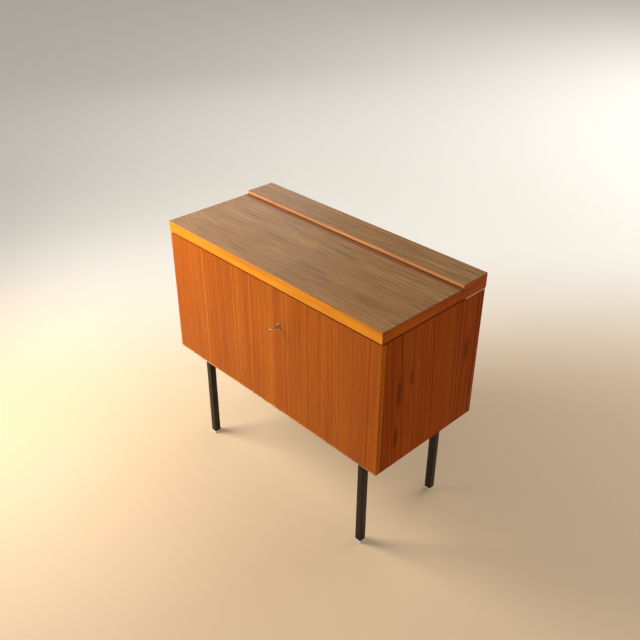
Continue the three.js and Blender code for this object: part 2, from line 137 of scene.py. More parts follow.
def add(tree, kind, sockets=None, **settings):
    """Adds a node, sets it up and fills its sockets."""
    node = tree.nodes.new(kind)
    for key, value in settings.items():
        setattr(node, key, value)
    for key, value in (sockets or {}).items():
        fill(tree, node.inputs[key], value)
    return node


def math_node(tree, operation, a, b=0.0, clamp=False):
    """One step of arithmetic on two numbers."""
    return add(tree, "ShaderNodeMath", {0: a, 1: b}, operation=operation, use_clamp=clamp).outputs[0]


def times(tree, a, b):
    """The product of two numbers."""
    return math_node(tree, "MULTIPLY", a, b)


def plus(tree, a, b):
    """The sum of two numbers."""
    return math_node(tree, "ADD", a, b)


def minus(tree, a, b):
    """The difference of two numbers."""
    return math_node(tree, "SUBTRACT", a, b)


def vectors(tree, operation, a, b=(0, 0, 0), output=0):
    """One step on two vectors. Output 0 is a vector and output 1 a number."""
    return add(tree, "ShaderNodeVectorMath", {0: a, 1: b}, operation=operation).outputs[output]


def stretched(tree, vector, amount):
    """A vector made longer or shorter."""
    return add(tree, "ShaderNodeVectorMath", {0: vector, "Scale": amount}, operation="SCALE").outputs[0]


def split(tree, vector):
    """The three numbers of a vector."""
    return add(tree, "ShaderNodeSeparateXYZ", {0: vector}).outputs


def mix_color(tree, factor, a, b, blend="MIX"):
    """Mixes two colours."""
    return add(tree, "ShaderNodeMix", {0: factor, 6: a, 7: b}, data_type="RGBA", blend_type=blend).outputs[2]


def ramp(tree, value, *stops):
    """A colour for each stop of a value from 0 to 1."""
    node = add(tree, "ShaderNodeValToRGB", {0: value})
    band = node.color_ramp
    while len(band.elements) < len(stops):
        band.elements.new(0.5)
    for element, (place, color) in zip(band.elements, stops):
        element.position = place
        element.color = (*color, 1)
    return node.outputs[0]


def map_range(tree, value, low, high, to_low=0.0, to_high=1.0, curve="LINEAR"):
    """Stretches a value from one range to another, without passing its ends."""
    sockets = {"Value": value, "From Min": low, "From Max": high, "To Min": to_low, "To Max": to_high}
    return add(tree, "ShaderNodeMapRange", sockets, interpolation_type=curve).outputs[0]


def noise(tree, place, scale, detail, roughness=0.5, seed=None, distortion=0.0, output=0):
    """Clouds from 0 to 1, other ones for each seed. Output 1 is a vector of three."""
    sockets = {"Vector": place, "Scale": scale, "Detail": detail, "Roughness": roughness,
               "Distortion": distortion}
    if seed is None:
        return add(tree, "ShaderNodeTexNoise", sockets).outputs[output]
    return add(tree, "ShaderNodeTexNoise", {**sockets, "W": seed}, noise_dimensions="4D").outputs[output]


def object_place(tree, turn=(0, 0, 0)):
    """Object coordinates, turned by a Mapping node."""
    coords = add(tree, "ShaderNodeTexCoord").outputs["Object"]
    return add(tree, "ShaderNodeMapping", {"Vector": coords, "Rotation": turn}).outputs[0]


# %% Helpers for groups and materials
NUMBER, POINT = "NodeSocketFloat", "NodeSocketVector"


def group(name, inputs, outputs):
    """A new node group. Inputs are (name, kind, value); outputs are (name, kind)."""
    tree = bpy.data.node_groups.new(name, "ShaderNodeTree")
    for label, kind, value in inputs:
        socket = tree.interface.new_socket(label, in_out="INPUT", socket_type=kind)
        if value is not None:
            socket.default_value = value
    for label, kind in outputs:
        tree.interface.new_socket(label, in_out="OUTPUT", socket_type=kind)
    entry = tree.nodes.new("NodeGroupInput").outputs
    leave = tree.nodes.new("NodeGroupOutput").inputs
    return tree, entry, leave


def place_group(tree, made, **values):
    """Places a group and fills its inputs; underscores in a keyword stand for spaces."""
    node = add(tree, "ShaderNodeGroup", node_tree=made)
    for key, value in values.items():
        fill(tree, node.inputs[key.replace("_", " ")], value)
    return node.outputs


def new_material(name):
    """A material made of nodes, and its tree."""
    material = bpy.data.materials.new(name)
    material.use_nodes = True
    return material, material.node_tree


def surface(material, color, roughness, height, strength, depth, shine=0.5, metallic=0.0):
    """Wires a material's colour and roughness, and a bump made from a height, and sets its shine."""
    tree = material.node_tree
    shader = tree.nodes["Principled BSDF"].inputs
    tree.links.new(color, shader["Base Color"])
    tree.links.new(roughness, shader["Roughness"])
    sockets = {"Height": height, "Strength": strength, "Distance": depth}
    tree.links.new(add(tree, "ShaderNodeBump", sockets).outputs[0], shader["Normal"])
    shader["Specular IOR Level"].default_value = shine
    shader["Metallic"].default_value = metallic
    return material


print("node helpers ready")


# %% [markdown]
# ## Floor and light
# The floor is a plain pale sweep, of timber colour round the cabinet and almost white further back. A
# soft light stands close to the front and left, as a window would, so the front and the top are brighter
# at their left ends, and the right side falls into a deep brown. A pale glow stands for a light wall, and
# a wide lamp far behind lights the floor there. A weak fill keeps the side readable. The plain display
# curve keeps strong wood colours as strong as they are.

# %% Floor
FLOOR_HALF = 14.0
FLOOR_NEAR, FLOOR_FAR, FLOOR_ROUGHNESS = (0.66, 0.50, 0.33), (0.90, 0.88, 0.84), 0.65
SWEEP_START, SWEEP_END = 0.2, 1.7
AWAY = (-math.sin(TURN), math.cos(TURN), 0)


def sweep_material():
    """A matte finish, only for the studio, that pales with the distance behind the cabinet."""
    material, tree = new_material("studio floor")
    shader = tree.nodes["Principled BSDF"].inputs
    place = add(tree, "ShaderNodeTexCoord").outputs["Object"]
    depth = vectors(tree, "DOT_PRODUCT", place, AWAY, output=1)
    fade = map_range(tree, depth, SWEEP_START, SWEEP_END, curve="SMOOTHSTEP")
    tree.links.new(mix_color(tree, fade, FLOOR_NEAR, FLOOR_FAR), shader["Base Color"])
    shader["Roughness"].default_value = FLOOR_ROUGHNESS
    return material


bpy.ops.mesh.primitive_plane_add(size=2 * FLOOR_HALF, location=(0, 0, CAD_LOW.z))
studio_floor = bpy.context.object
studio_floor.name = "studio_floor"
studio_floor.data.materials.append(sweep_material())
print("floor at", round(CAD_LOW.z, 4))


# %% Lights
def soft_light(name, place, target, size, watts, color):
    """A square soft box at a place, aimed at a target."""
    bpy.ops.object.light_add(type="AREA", location=place)
    lamp = bpy.context.object
    lamp.name = name
    lamp.data.shape = "SQUARE"
    lamp.data.size = size
    lamp.data.energy = watts
    lamp.data.color = color
    lamp.rotation_mode = "QUATERNION"
    lamp.rotation_quaternion = (Vector(target) - Vector(place)).to_track_quat("-Z", "Y")


MIDDLE = (CAD_LOW + CAD_HIGH) / 2
WORLD_COLOR, WORLD_STRENGTH = (1.0, 0.95, 0.88), 0.42
LIGHTS = (
    ("window_light", (-1.2, -0.95, 1.35), MIDDLE, 0.9, 42, (1.0, 0.94, 0.84)),
    ("wall_glow", (-3.6, 2.3, 2.4), MIDDLE, 2.0, 11, (1.0, 0.95, 0.88)),
    ("back_light", (0.6, 5.5, 4.0), (0.6, 5.5, 0.0), 4.0, 220, (1.0, 0.98, 0.95)),
    ("right_fill", (3.2, 0.2, 1.6), MIDDLE, 2.0, 9, (1.0, 0.93, 0.84)),
)
for light in LIGHTS:
    soft_light(*light)

world = bpy.data.worlds.new("studio_air")
world.use_nodes = True
air = world.node_tree.nodes["Background"].inputs
air["Color"].default_value = (*WORLD_COLOR, 1)
air["Strength"].default_value = WORLD_STRENGTH
bpy.context.scene.world = world
bpy.context.scene.view_settings.view_transform = "Standard"
print("lights:", [light[0] for light in LIGHTS])


# %% [markdown]
# ## Wood, as a log would make it
# Grain isn't a picture laid on a board: it is where the saw met the growth rings. The group below keeps
# that idea. The grain runs along Z. The heart of the log lies some way to the side and some way behind
# the face, and leans a little, so the distance from the heart gives straight lines far from it and the
# pointed arches of crown-cut veneer near it. Long soft noise makes the rings waver, and finer noise adds
# fibres and the short dark dashes of open pores.

# %% Wood figure group
RIPPLE_REACH = 0.0022
# Stretches of the noise: across the grain, through the board and along the grain.
SLOW_WAVE, RIPPLE_WAVE = (5.0, 5.0, 1.6), (40.0, 40.0, 7.0)
FIBRE_WAVE, PORE_WAVE = (820.0, 820.0, 14.0), (1700.0, 1700.0, 75.0)


def make_wood_figure():
    """Vector with the grain along Z; gives the ring bands, the fibres and the pores, each from 0 to 1."""
    inputs = [("Vector", POINT, None), ("Ring Width", NUMBER, 0.006), ("Heart Across", NUMBER, 0.5),
              ("Heart Behind", NUMBER, 0.1), ("Lean", NUMBER, 0.0), ("Waver", NUMBER, 0.02),
              ("Seed", NUMBER, 0.0)]
    outputs = [("Band", NUMBER), ("Fibre", NUMBER), ("Pore", NUMBER)]
    tree, entry, leave = group("wood figure", inputs, outputs)
    parts = split(tree, entry["Vector"])

    def drawn_out(stretch, detail, roughness=0.5):
        """Noise on the board, drawn out along the grain, that differs from seed to seed."""
        place = vectors(tree, "MULTIPLY", entry["Vector"], stretch)
        return noise(tree, place, 1.0, detail, roughness, entry["Seed"])

    slow = minus(tree, drawn_out(SLOW_WAVE, 2.0), 0.5)
    ripple = minus(tree, drawn_out(RIPPLE_WAVE, 2.0), 0.5)
    sway = plus(tree, times(tree, slow, entry["Waver"]), times(tree, ripple, RIPPLE_REACH))
    across = plus(tree, minus(tree, parts[0], entry["Heart Across"]), sway)
    lean = times(tree, parts[2], entry["Lean"])
    behind = plus(tree, plus(tree, entry["Heart Behind"], lean), parts[1])
    square = plus(tree, math_node(tree, "POWER", across, 2.0), math_node(tree, "POWER", behind, 2.0))
    rings = math_node(tree, "DIVIDE", math_node(tree, "SQRT", square), entry["Ring Width"])
    sockets = {"W": plus(tree, rings, entry["Seed"]), "Scale": 1.0, "Detail": 3.0, "Roughness": 0.62}
    bands = add(tree, "ShaderNodeTexNoise", sockets, noise_dimensions="1D").outputs[0]
    tree.links.new(map_range(tree, bands, 0.25, 0.75), leave["Band"])
    tree.links.new(map_range(tree, drawn_out(FIBRE_WAVE, 2.0, 0.6), 0.25, 0.75), leave["Fibre"])
    tree.links.new(map_range(tree, drawn_out(PORE_WAVE, 1.0), 0.60, 0.70), leave["Pore"])
    return tree


WOOD_FIGURE = make_wood_figure()
print("group:", WOOD_FIGURE.name)


# %% [markdown]
# Boards in a box run in three directions, and the grain follows each board. This group turns the
# object's coordinates so that Z always runs along the board that a face belongs to: upright faces that
# look sideways take their grain front to back, and all the others take it left to right.

# %% Board direction group
def make_board_direction():
    """Object coordinates turned so that the grain follows the board."""
    tree, _, leave = group("board direction", [], [("Vector", POINT)])
    coords = add(tree, "ShaderNodeTexCoord")
    place = split(tree, coords.outputs["Object"])
    facing = split(tree, coords.outputs["Normal"])
    sideways, level = (math_node(tree, "GREATER_THAN", math_node(tree, "ABSOLUTE", facing[axis]), 0.7)
                       for axis in (0, 2))

    def choose(test, yes, no):
        """One number or another."""
        return add(tree, "ShaderNodeMix", {0: test, 2: no, 3: yes}, data_type="FLOAT").outputs[0]

    across = choose(level, place[1], place[2])
    through = choose(level, place[2], choose(sideways, place[0], place[1]))
    along = choose(sideways, place[1], place[0])
    out = add(tree, "ShaderNodeCombineXYZ", {0: across, 1: through, 2: along}).outputs[0]
    tree.links.new(out, leave["Vector"])
    return tree


BOARD_DIRECTION = make_board_direction()
print("group:", BOARD_DIRECTION.name)


# %% [markdown]
# ## Edges and hands
# Two kinds of wear are shared by many finishes. Edges get rubbed first: where the surface turns within a
# millimetre or two, lacquer thins and catches the light. And hands leave faint patches where the gloss
# changes. Each is a group, so every material can place it with its own strength.

# %% Worn edge and handling groups
def make_worn_edge():
    """A mask that is 1 on rubbed edges, broken up so that no edge is worn all along."""
    inputs = [("Reach", NUMBER, 0.0015), ("Amount", NUMBER, 0.6)]
    tree, entry, leave = group("worn edge", inputs, [("Edge", NUMBER)])
    rounded = add(tree, "ShaderNodeBevel", {"Radius": entry["Reach"]}, samples=6).outputs[0]
    true = add(tree, "ShaderNodeNewGeometry").outputs["Normal"]
    turned = minus(tree, 1.0, vectors(tree, "DOT_PRODUCT", rounded, true, output=1))
    coords = add(tree, "ShaderNodeTexCoord").outputs["Object"]
    patches = map_range(tree, noise(tree, coords, 55.0, 4.0), 0.35, 0.6)
    broken = times(tree, map_range(tree, turned, 0.02, 0.22), patches)
    tree.links.new(math_node(tree, "MULTIPLY", broken, entry["Amount"], clamp=True), leave["Edge"])
    return tree


def make_handling():
    """Soft patches and a few hairline scratches, as changes of gloss and height."""
    outputs = [("Patch", NUMBER), ("Hairline", NUMBER)]
    tree, entry, leave = group("handling", [("Scratch", NUMBER, 0.5)], outputs)
    coords = add(tree, "ShaderNodeTexCoord").outputs["Object"]
    tree.links.new(map_range(tree, noise(tree, coords, 7.0, 5.0), 0.3, 0.7), leave["Patch"])
    path = vectors(tree, "ADD", coords, noise(tree, coords, 3.0, 1.0, output=1))
    sockets = {"Vector": path, "Scale": 9.0}
    lines = add(tree, "ShaderNodeTexVoronoi", sockets, feature="DISTANCE_TO_EDGE").outputs[0]
    thin = map_range(tree, lines, 0.0, 0.004, 1.0, 0.0)
    few = times(tree, thin, map_range(tree, noise(tree, coords, 16.0, 2.0), 0.58, 0.66))
    tree.links.new(times(tree, few, entry["Scratch"]), leave["Hairline"])
    return tree


WORN_EDGE, HANDLING = make_worn_edge(), make_handling()


def rubbed(tree, color, reach, amount, worn):
    """A colour whose edges are rubbed to another one."""
    return mix_color(tree, place_group(tree, WORN_EDGE, Reach=reach, Amount=amount)["Edge"], color, worn)


def handled(tree, color, scratch, strength, mark, smooth, rough):
    """A colour with hairline scratches, and a roughness that changes where hands have been."""
    hands = place_group(tree, HANDLING, Scratch=scratch)
    gloss = map_range(tree, hands["Patch"], 0.0, 1.0, smooth, rough)
    return mix_color(tree, times(tree, hands["Hairline"], strength), color, mark), gloss


print("groups:", WORN_EDGE.name, "and", HANDLING.name)


# %% [markdown]
# ## Teak veneer
# The front is quartered teak veneer: upright, almost straight lines in warm orange-brown, some of them
# paler sap streaks, under a satin lacquer. It is laid in two leaves, and the right one is a little darker.
# The side has four knots that push the lines aside, and its tones are darker than the front's: that is
# painted shade, for a face turned away from the light. All are the same recipe with other numbers, so a
# function builds them.

# %% Veneer recipe
# Turns that bring the grain onto Z: it may run along X, along Y or upright.
GRAIN_X, GRAIN_Y = (0, QUARTER, 0), (QUARTER, 0, 0)
GRAIN_UPRIGHT, GRAIN_UPRIGHT_SIDE = (0, 0, 0), (0, 0, QUARTER)
KNOT_STRETCH = (1.0, 0.0, 0.24)
KNOT_PUSH = -0.7


def log_cut(ring_width, across, behind, lean, waver):
    """How a board was cut: the width of its rings, where the log's heart lies, its lean and its waver."""
    return {"Ring_Width": ring_width, "Heart_Across": across, "Heart_Behind": behind, "Lean": lean,
            "Waver": waver}


def round_knots(tree, place, knots):
    """Pushes a place aside round knots, given as (centre, size), and shades their cores."""
    shade = None
    for centre, size in knots:
        flat = vectors(tree, "MULTIPLY", vectors(tree, "SUBTRACT", place, centre), KNOT_STRETCH)
        far = vectors(tree, "LENGTH", flat, output=1)
        near = map_range(tree, far, size, 0.0, curve="SMOOTHERSTEP")
        place = vectors(tree, "ADD", place, stretched(tree, flat, times(tree, near, KNOT_PUSH)))
        core = math_node(tree, "POWER", near, 3.0)
        shade = core if shade is None else math_node(tree, "MAXIMUM", shade, core)
    return place, shade


def veneer(name, colors, turn, cut, streak=0.3, knots=(), rough=0.4, seed=0.0, leaf=None, shine=0.2):
    """Lacquered veneer in a dark, a middle and a light tone. Knots are placed in the turned frame. Leaf is
    the place across the board where a second leaf of veneer starts."""
    dark, tone, light = colors
    material, tree = new_material(name)
    place = object_place(tree, turn)
    if leaf is not None:
        second = math_node(tree, "GREATER_THAN", split(tree, place)[0], leaf)
        seed = plus(tree, times(tree, second, 5.0), seed)
    place, knot_shade = round_knots(tree, place, knots)
    wood = place_group(tree, WOOD_FIGURE, Vector=place, Seed=seed, **cut)
    broad = noise(tree, vectors(tree, "MULTIPLY", place, (13.0, 0.0, 0.9)), 1.0, 3.0, seed=seed)
    value = plus(tree, times(tree, wood["Band"], 0.55), times(tree, map_range(tree, broad, 0.3, 0.7), 0.45))
    color = ramp(tree, value, (0.15, dark), (0.5, tone), (0.9, light))
    if leaf is not None:
        color = mix_color(tree, times(tree, second, 0.22), color, dark)
    fibre = map_range(tree, wood["Fibre"], 0.0, 1.0, 0.74, 1.20)
    color = mix_color(tree, 1.0, color, fibre, "MULTIPLY")
    spread = times(tree, map_range(tree, broad, 0.35, 0.6, 0.3, 1.0), streak)
    color = mix_color(tree, times(tree, map_range(tree, wood["Band"], 0.76, 0.95), spread), color, light)
    color = mix_color(tree, times(tree, wood["Pore"], 0.55), color, [c * 0.35 for c in dark])
    if knot_shade is not None:
        color = mix_color(tree, times(tree, knot_shade, 0.62), color, [c * 0.3 for c in dark])
    color = rubbed(tree, color, 1.2 * MM, 0.3, light)
    color, gloss = handled(tree, color, 0.4, 0.22, light, rough - 0.05, rough + 0.08)
    roughness = plus(tree, gloss, times(tree, wood["Pore"], 0.15))
    height = minus(tree, times(tree, wood["Fibre"], 0.35), wood["Pore"])
    return surface(material, color, roughness, height, 0.28, 0.12 * MM, shine)


# %% Teak
FRONT_TONES = ((0.32, 0.060, 0.003), (0.425, 0.099, 0.005), (0.56, 0.170, 0.011))
EDGE_TONES = ((0.30, 0.060, 0.004), (0.40, 0.094, 0.006), (0.50, 0.140, 0.010))
# The side's tones are darker than the front's as painted shade, for faces turned away from the light.
SIDE_TONES_PAINTED_SHADE = ((0.17, 0.025, 0.001), (0.31, 0.052, 0.002), (0.42, 0.090, 0.004))
FRONT_CUT = log_cut(0.0085, -0.9, 0.25, 0.05, 0.02)
EDGE_CUT = log_cut(0.004, 0.5, 0.1, 0.02, 0.01)
SIDE_CUT = log_cut(0.007, 0.75, 0.15, 0.05, 0.045)
LEAF_SHARE = 0.54
# Knots on a side: shares of its depth and height, and a size in metres.
SIDE_KNOTS = ((0.15, 0.57, 0.030), (0.27, 0.63, 0.017), (0.86, 0.60, 0.030), (0.14, 0.22, 0.020))

side_size = SIDE_HIGH - SIDE_LOW
side_knots = [((-(SIDE_LOW.y + depth * side_size.y), 0.0, SIDE_LOW.z + tall * side_size.z), size)
              for depth, tall, size in SIDE_KNOTS]
teak_front = veneer("teak veneer front", FRONT_TONES, GRAIN_UPRIGHT, FRONT_CUT, rough=0.38,
                    leaf=FLAP_LOW.x + LEAF_SHARE * WIDTH, shine=0.1)
teak_edge = veneer("teak edge banding", EDGE_TONES, GRAIN_UPRIGHT_SIDE, EDGE_CUT, streak=0.1, rough=0.42,
                   seed=2.0, shine=0.03)
shaded_teak_side = veneer("teak veneer side with painted shade", SIDE_TONES_PAINTED_SHADE, GRAIN_UPRIGHT_SIDE, SIDE_CUT, streak=0.1,
                   knots=side_knots, seed=4.0, shine=0.03)
print("veneers:", teak_front.name, teak_edge.name, shaded_teak_side.name)


# %% [markdown]
# ## Walnut-pattern laminate
# The top is not veneer but a printed laminate: a walnut picture under a clear, finely textured skin. Its
# colour is cooler and greyer than the teak, its lines are short and fine, and it has no pores to feel.
# So it uses the same wood group for the picture, but the bump is an even fine texture. A reddish dark line
# along the lid's back edge is painted shade: the shade and dark reflection of the raised strip behind it.

# %% Laminate material
WALNUT_DARK, WALNUT_TONE, WALNUT_LIGHT = (0.190, 0.089, 0.027), (0.310, 0.152, 0.045), (0.440, 0.242, 0.080)
WALNUT_DRIFT, WALNUT_DASH, WALNUT_WORN = (0.31, 0.145, 0.045), (0.110, 0.048, 0.018), (0.10, 0.040, 0.015)
# The last colour below and the three lengths after it are painted shade: a dark reddish band along the lid's
# back edge, under the raised strip.
WALNUT_SCRATCH, PAINTED_SHADE_COLOR = (0.46, 0.28, 0.13), (0.21, 0.062, 0.010)
SHADE_START, SHADE_FULL, SHADE_PAST = 17 * MM, 11 * MM, 1 * MM


def make_laminate():
    """Printed walnut laminate with a satin, finely textured skin."""
    material, tree = new_material("walnut laminate")
    place = object_place(tree, GRAIN_X)
    cut = log_cut(0.0048, 0.02, 0.09, 0.035, 0.012)
    broad = place_group(tree, WOOD_FIGURE, Vector=place, Seed=7.0, **cut)

    def dashes(thin, long, low, high):
        """Dark dashes along the grain, from 0 to 1."""
        spot = vectors(tree, "MULTIPLY", place, (thin, thin, long))
        return map_range(tree, noise(tree, spot, 1.0, 3.0, 0.6), low, high)

    value = plus(tree, times(tree, broad["Band"], 0.35), times(tree, dashes(190.0, 8.0, 0.22, 0.78), 0.65))
    color = ramp(tree, value, (0.15, WALNUT_DARK), (0.5, WALNUT_TONE), (0.85, WALNUT_LIGHT))
    drift = map_range(tree, noise(tree, place, 6.0, 3.0), 0.3, 0.7, 0.0, 0.25)
    color = mix_color(tree, drift, color, WALNUT_DRIFT)
    color = mix_color(tree, times(tree, dashes(310.0, 5.0, 0.48, 0.60), 0.7), color, WALNUT_DASH)
    # Painted shade: the laminate darkens to a reddish brown near the lid's back edge, where the raised strip
    # shades it and is reflected in it.
    depth = split(tree, object_place(tree))[1]
    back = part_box("lid_laminate")[1].y
    painted_shade = times(tree, map_range(tree, depth, back - SHADE_START, back - SHADE_FULL),
                   math_node(tree, "LESS_THAN", depth, back + SHADE_PAST))
    color = mix_color(tree, times(tree, painted_shade, 0.85), color, PAINTED_SHADE_COLOR)
    color = rubbed(tree, color, 1 * MM, 0.5, WALNUT_WORN)
    color, gloss = handled(tree, color, 0.7, 0.25, WALNUT_SCRATCH, 0.22, 0.32)
    return surface(material, color, gloss, noise(tree, place, 1500.0, 2.0), 0.12, 0.1 * MM, 0.3)


walnut_laminate = make_laminate()
print("laminate:", walnut_laminate.name)


# %% [markdown]
# ## Lippings
# The edges of the top are covered with thin solid lippings. The lid's front one is much brighter than
# the rest, a clear orange, and the one on the raised strip is softer and more salmon. The side ones are
# a dark brown, as dark as the teak of the sides. All run along the edge that they cover. The pale packing
# strips between the raised strip and the sides are the same recipe in an unstained wood.

# %% Lipping material
def lipping(name, dark, light, turn, seed, shine=0.2):
    """A lacquered lipping with fine straight grain along its length."""
    material, tree = new_material(name)
    place = object_place(tree, turn)
    wood = place_group(tree, WOOD_FIGURE, Vector=place, Seed=seed, **log_cut(0.004, 0.3, 0.1, 0.02, 0.01))
    clouds = noise(tree, vectors(tree, "MULTIPLY", place, (60.0, 60.0, 5.0)), 1.0, 4.0)
    value = plus(tree, times(tree, wood["Band"], 0.3), times(tree, map_range(tree, clouds, 0.3, 0.7), 0.7))
    color = ramp(tree, value, (0.1, dark), (0.9, light))
    color = mix_color(tree, map_range(tree, wood["Fibre"], 0.0, 1.0, 0.0, 0.2), color, dark)
    color = mix_color(tree, times(tree, wood["Pore"], 0.25), color, [c * 0.5 for c in dark])
    color = rubbed(tree, color, 1.2 * MM, 0.75, [min(1.0, c * 1.25 + 0.04) for c in light])
    hands = place_group(tree, HANDLING, Scratch=0.4)
    gloss = map_range(tree, hands["Patch"], 0.0, 1.0, 0.3, 0.42)
    return surface(material, color, gloss, minus(tree, wood["Fibre"], wood["Pore"]), 0.2, 0.1 * MM, shine)


orange_wood = lipping("orange front lipping", (0.60, 0.175, 0.004), (0.86, 0.33, 0.012), GRAIN_X, 1.0)
salmon_wood = lipping("salmon strip lipping", (0.56, 0.20, 0.060), (0.76, 0.32, 0.110), GRAIN_X, 2.0)
dark_side_wood = lipping("dark side lipping", (0.27, 0.044, 0.002), (0.45, 0.095, 0.006), GRAIN_Y, 3.0, 0.04)
packing_wood = lipping("pale packing", (0.50, 0.33, 0.19), (0.74, 0.56, 0.38), GRAIN_Y, 5.0)
print("lippings:", orange_wood.name, salmon_wood.name, dark_side_wood.name, packing_wood.name)


# %% [markdown]
# ## The woods nobody looks at
# Inside, a cabinet of this age is made of cheaper stuff: pale plywood for trays and tills, raw chipboard
# where a face is never seen, and a hardboard back. Each has its own giveaway: layers and straight grain,
# pressed flakes, and felted brown fibres.

# %% Pale wood, chipboard and hardboard
PALE_TONES = ((0.1, (0.47, 0.31, 0.165)), (0.6, (0.62, 0.445, 0.255)), (0.95, (0.70, 0.53, 0.33)))
PALE_FIBRE, PALE_PORE = (0.42, 0.26, 0.13), (0.26, 0.15, 0.07)
PALE_WORN, PALE_HANDLED = (0.36, 0.21, 0.10), (0.38, 0.23, 0.12)
FLAKE_TONES = ((0.0, (0.22, 0.13, 0.06)), (0.45, (0.44, 0.30, 0.165)), (1.0, (0.60, 0.45, 0.28)))
FLAKE_WORN, FLAKE_SHOVE = (0.30, 0.19, 0.10), 0.01
FELT_TONES = ((0.3, (0.11, 0.055, 0.024)), (0.5, (0.19, 0.102, 0.047)), (0.7, (0.28, 0.165, 0.08)))
FELT_SCRATCH = (0.40, 0.27, 0.16)


def make_pale_wood():
    """Clear-sealed pale wood whose grain follows each board."""
    material, tree = new_material("pale sealed wood")
    place = place_group(tree, BOARD_DIRECTION)["Vector"]
    wood = place_group(tree, WOOD_FIGURE, Vector=place, Seed=11.0, **log_cut(0.0075, 0.22, 0.03, 0.05, 0.05))
    color = ramp(tree, wood["Band"], *PALE_TONES)
    color = mix_color(tree, map_range(tree, wood["Fibre"], 0.0, 1.0, 0.0, 0.25), color, PALE_FIBRE)
    color = mix_color(tree, times(tree, wood["Pore"], 0.3), color, PALE_PORE)
    color = rubbed(tree, color, 1.4 * MM, 0.5, PALE_WORN)
    hands = place_group(tree, HANDLING, Scratch=0.5)
    color = mix_color(tree, map_range(tree, hands["Patch"], 0.5, 1.0, 0.0, 0.18), color, PALE_HANDLED)
    gloss = map_range(tree, hands["Patch"], 0.0, 1.0, 0.46, 0.6)
    return surface(material, color, gloss, minus(tree, wood["Fibre"], wood["Pore"]), 0.3, 0.15 * MM)


def make_chipboard():
    """Raw chipboard: flakes of several browns, pressed together."""
    material, tree = new_material("raw chipboard")
    place = object_place(tree)
    shove = stretched(tree, noise(tree, place, 60.0, 2.0, output=1), FLAKE_SHOVE)
    sockets = {"Vector": vectors(tree, "ADD", place, shove), "Scale": 260.0, "Randomness": 1.0}
    flakes = add(tree, "ShaderNodeTexVoronoi", sockets).outputs
    shade = add(tree, "ShaderNodeSeparateColor", {0: flakes["Color"]}).outputs[0]
    color = rubbed(tree, ramp(tree, shade, *FLAKE_TONES), 2 * MM, 0.6, FLAKE_WORN)
    gloss = map_range(tree, shade, 0.0, 1.0, 0.75, 0.95)
    return surface(material, color, gloss, flakes["Distance"], 0.5, 0.4 * MM)


def make_hardboard():
    """Brown hardboard with felted fibres and a slightly shiny pressed face."""
    material, tree = new_material("hardboard back")
    place = object_place(tree)
    fibres = noise(tree, place, 420.0, 6.0, 0.7, distortion=1.4)
    value = plus(tree, times(tree, fibres, 0.7), times(tree, noise(tree, place, 8.0, 4.0), 0.3))
    color, gloss = handled(tree, ramp(tree, value, *FELT_TONES), 0.9, 0.5, FELT_SCRATCH, 0.5, 0.68)
    return surface(material, color, gloss, fibres, 0.25, 0.2 * MM)


pale_wood, chipboard, hardboard = make_pale_wood(), make_chipboard(), make_hardboard()
print("hidden woods:", pale_wood.name, chipboard.name, hardboard.name)


# %% [markdown]
# ## Paint, plastic and metal
# The legs are square tube under a thin satin paint, black with a little brown, rubbed on its corners.
# The glides are moulded white. The key is nickel that has gone dull in the hand. Its plate is nickel as well,
# but a warm orange reflection of the veneer is painted into its colour, and its pale rubbed rim is partly
# a painted highlight. The lid's hinge is brass in a very dark brown and the flap's is dulled brass, as are
# the bolt and its striker. The lock's case and the stays are zinc-plated steel.

# %% Paint, plastic and metal materials
def coated(name, color, worn, rough, grain_scale, grain_mm, metallic=0.0, wear=0.5, shine=0.5):
    """Any even finish: a colour with soft clouds, a fine skin, and edges worn to another colour."""
    material, tree = new_material(name)
    place = object_place(tree)
    clouds = map_range(tree, noise(tree, place, 23.0, 5.0), 0.3, 0.7)
    shade = mix_color(tree, clouds, [c * 0.78 for c in color], [min(1.0, c * 1.16) for c in color])
    shade = rubbed(tree, shade, 0.9 * MM, wear, worn)
    shade, gloss = handled(tree, shade, 0.6, 0.3, worn, rough - 0.06, rough + 0.08)
    skin = noise(tree, place, grain_scale, 3.0)
    return surface(material, shade, gloss, skin, 0.2, grain_mm * MM, shine, metallic)


# Name, colour, worn colour, roughness, scale and depth of the skin in millimetres, metallic, wear, shine.
COATED = (
    ("black-brown leg paint", (0.018, 0.010, 0.005), (0.09, 0.06, 0.04), 0.38, 900.0, 0.15, 0.0, 0.5, 0.2),
    ("white glide plastic", (0.80, 0.78, 0.73), (0.62, 0.58, 0.50), 0.4, 700.0, 0.08, 0.0, 0.3),
    # The plate's warm colour is a painted reflection of the orange veneer, and its pale worn rim is partly a
    # painted highlight.
    ("nickel plate with painted reflection", (0.34, 0.20, 0.11), (0.78, 0.60, 0.44), 0.34, 1200.0, 0.06, 0.9, 0.9),
    ("dull nickel", (0.66, 0.56, 0.47), (0.85, 0.76, 0.66), 0.27, 1200.0, 0.06, 1.0),
    ("dulled brass", (0.42, 0.27, 0.10), (0.72, 0.52, 0.24), 0.36, 1000.0, 0.08, 1.0),
    ("dark brown brass", (0.060, 0.030, 0.014), (0.30, 0.17, 0.07), 0.5, 1000.0, 0.08, 0.7),
    ("zinc-plated steel", (0.46, 0.45, 0.43), (0.66, 0.65, 0.62), 0.34, 800.0, 0.08, 1.0),
)
leg_paint, white_plastic, nickel_with_painted_reflection, dull_nickel, dulled_brass, dark_brown_brass, zinc_steel = (
    coated(*row) for row in COATED)
print("materials:", len(bpy.data.materials))

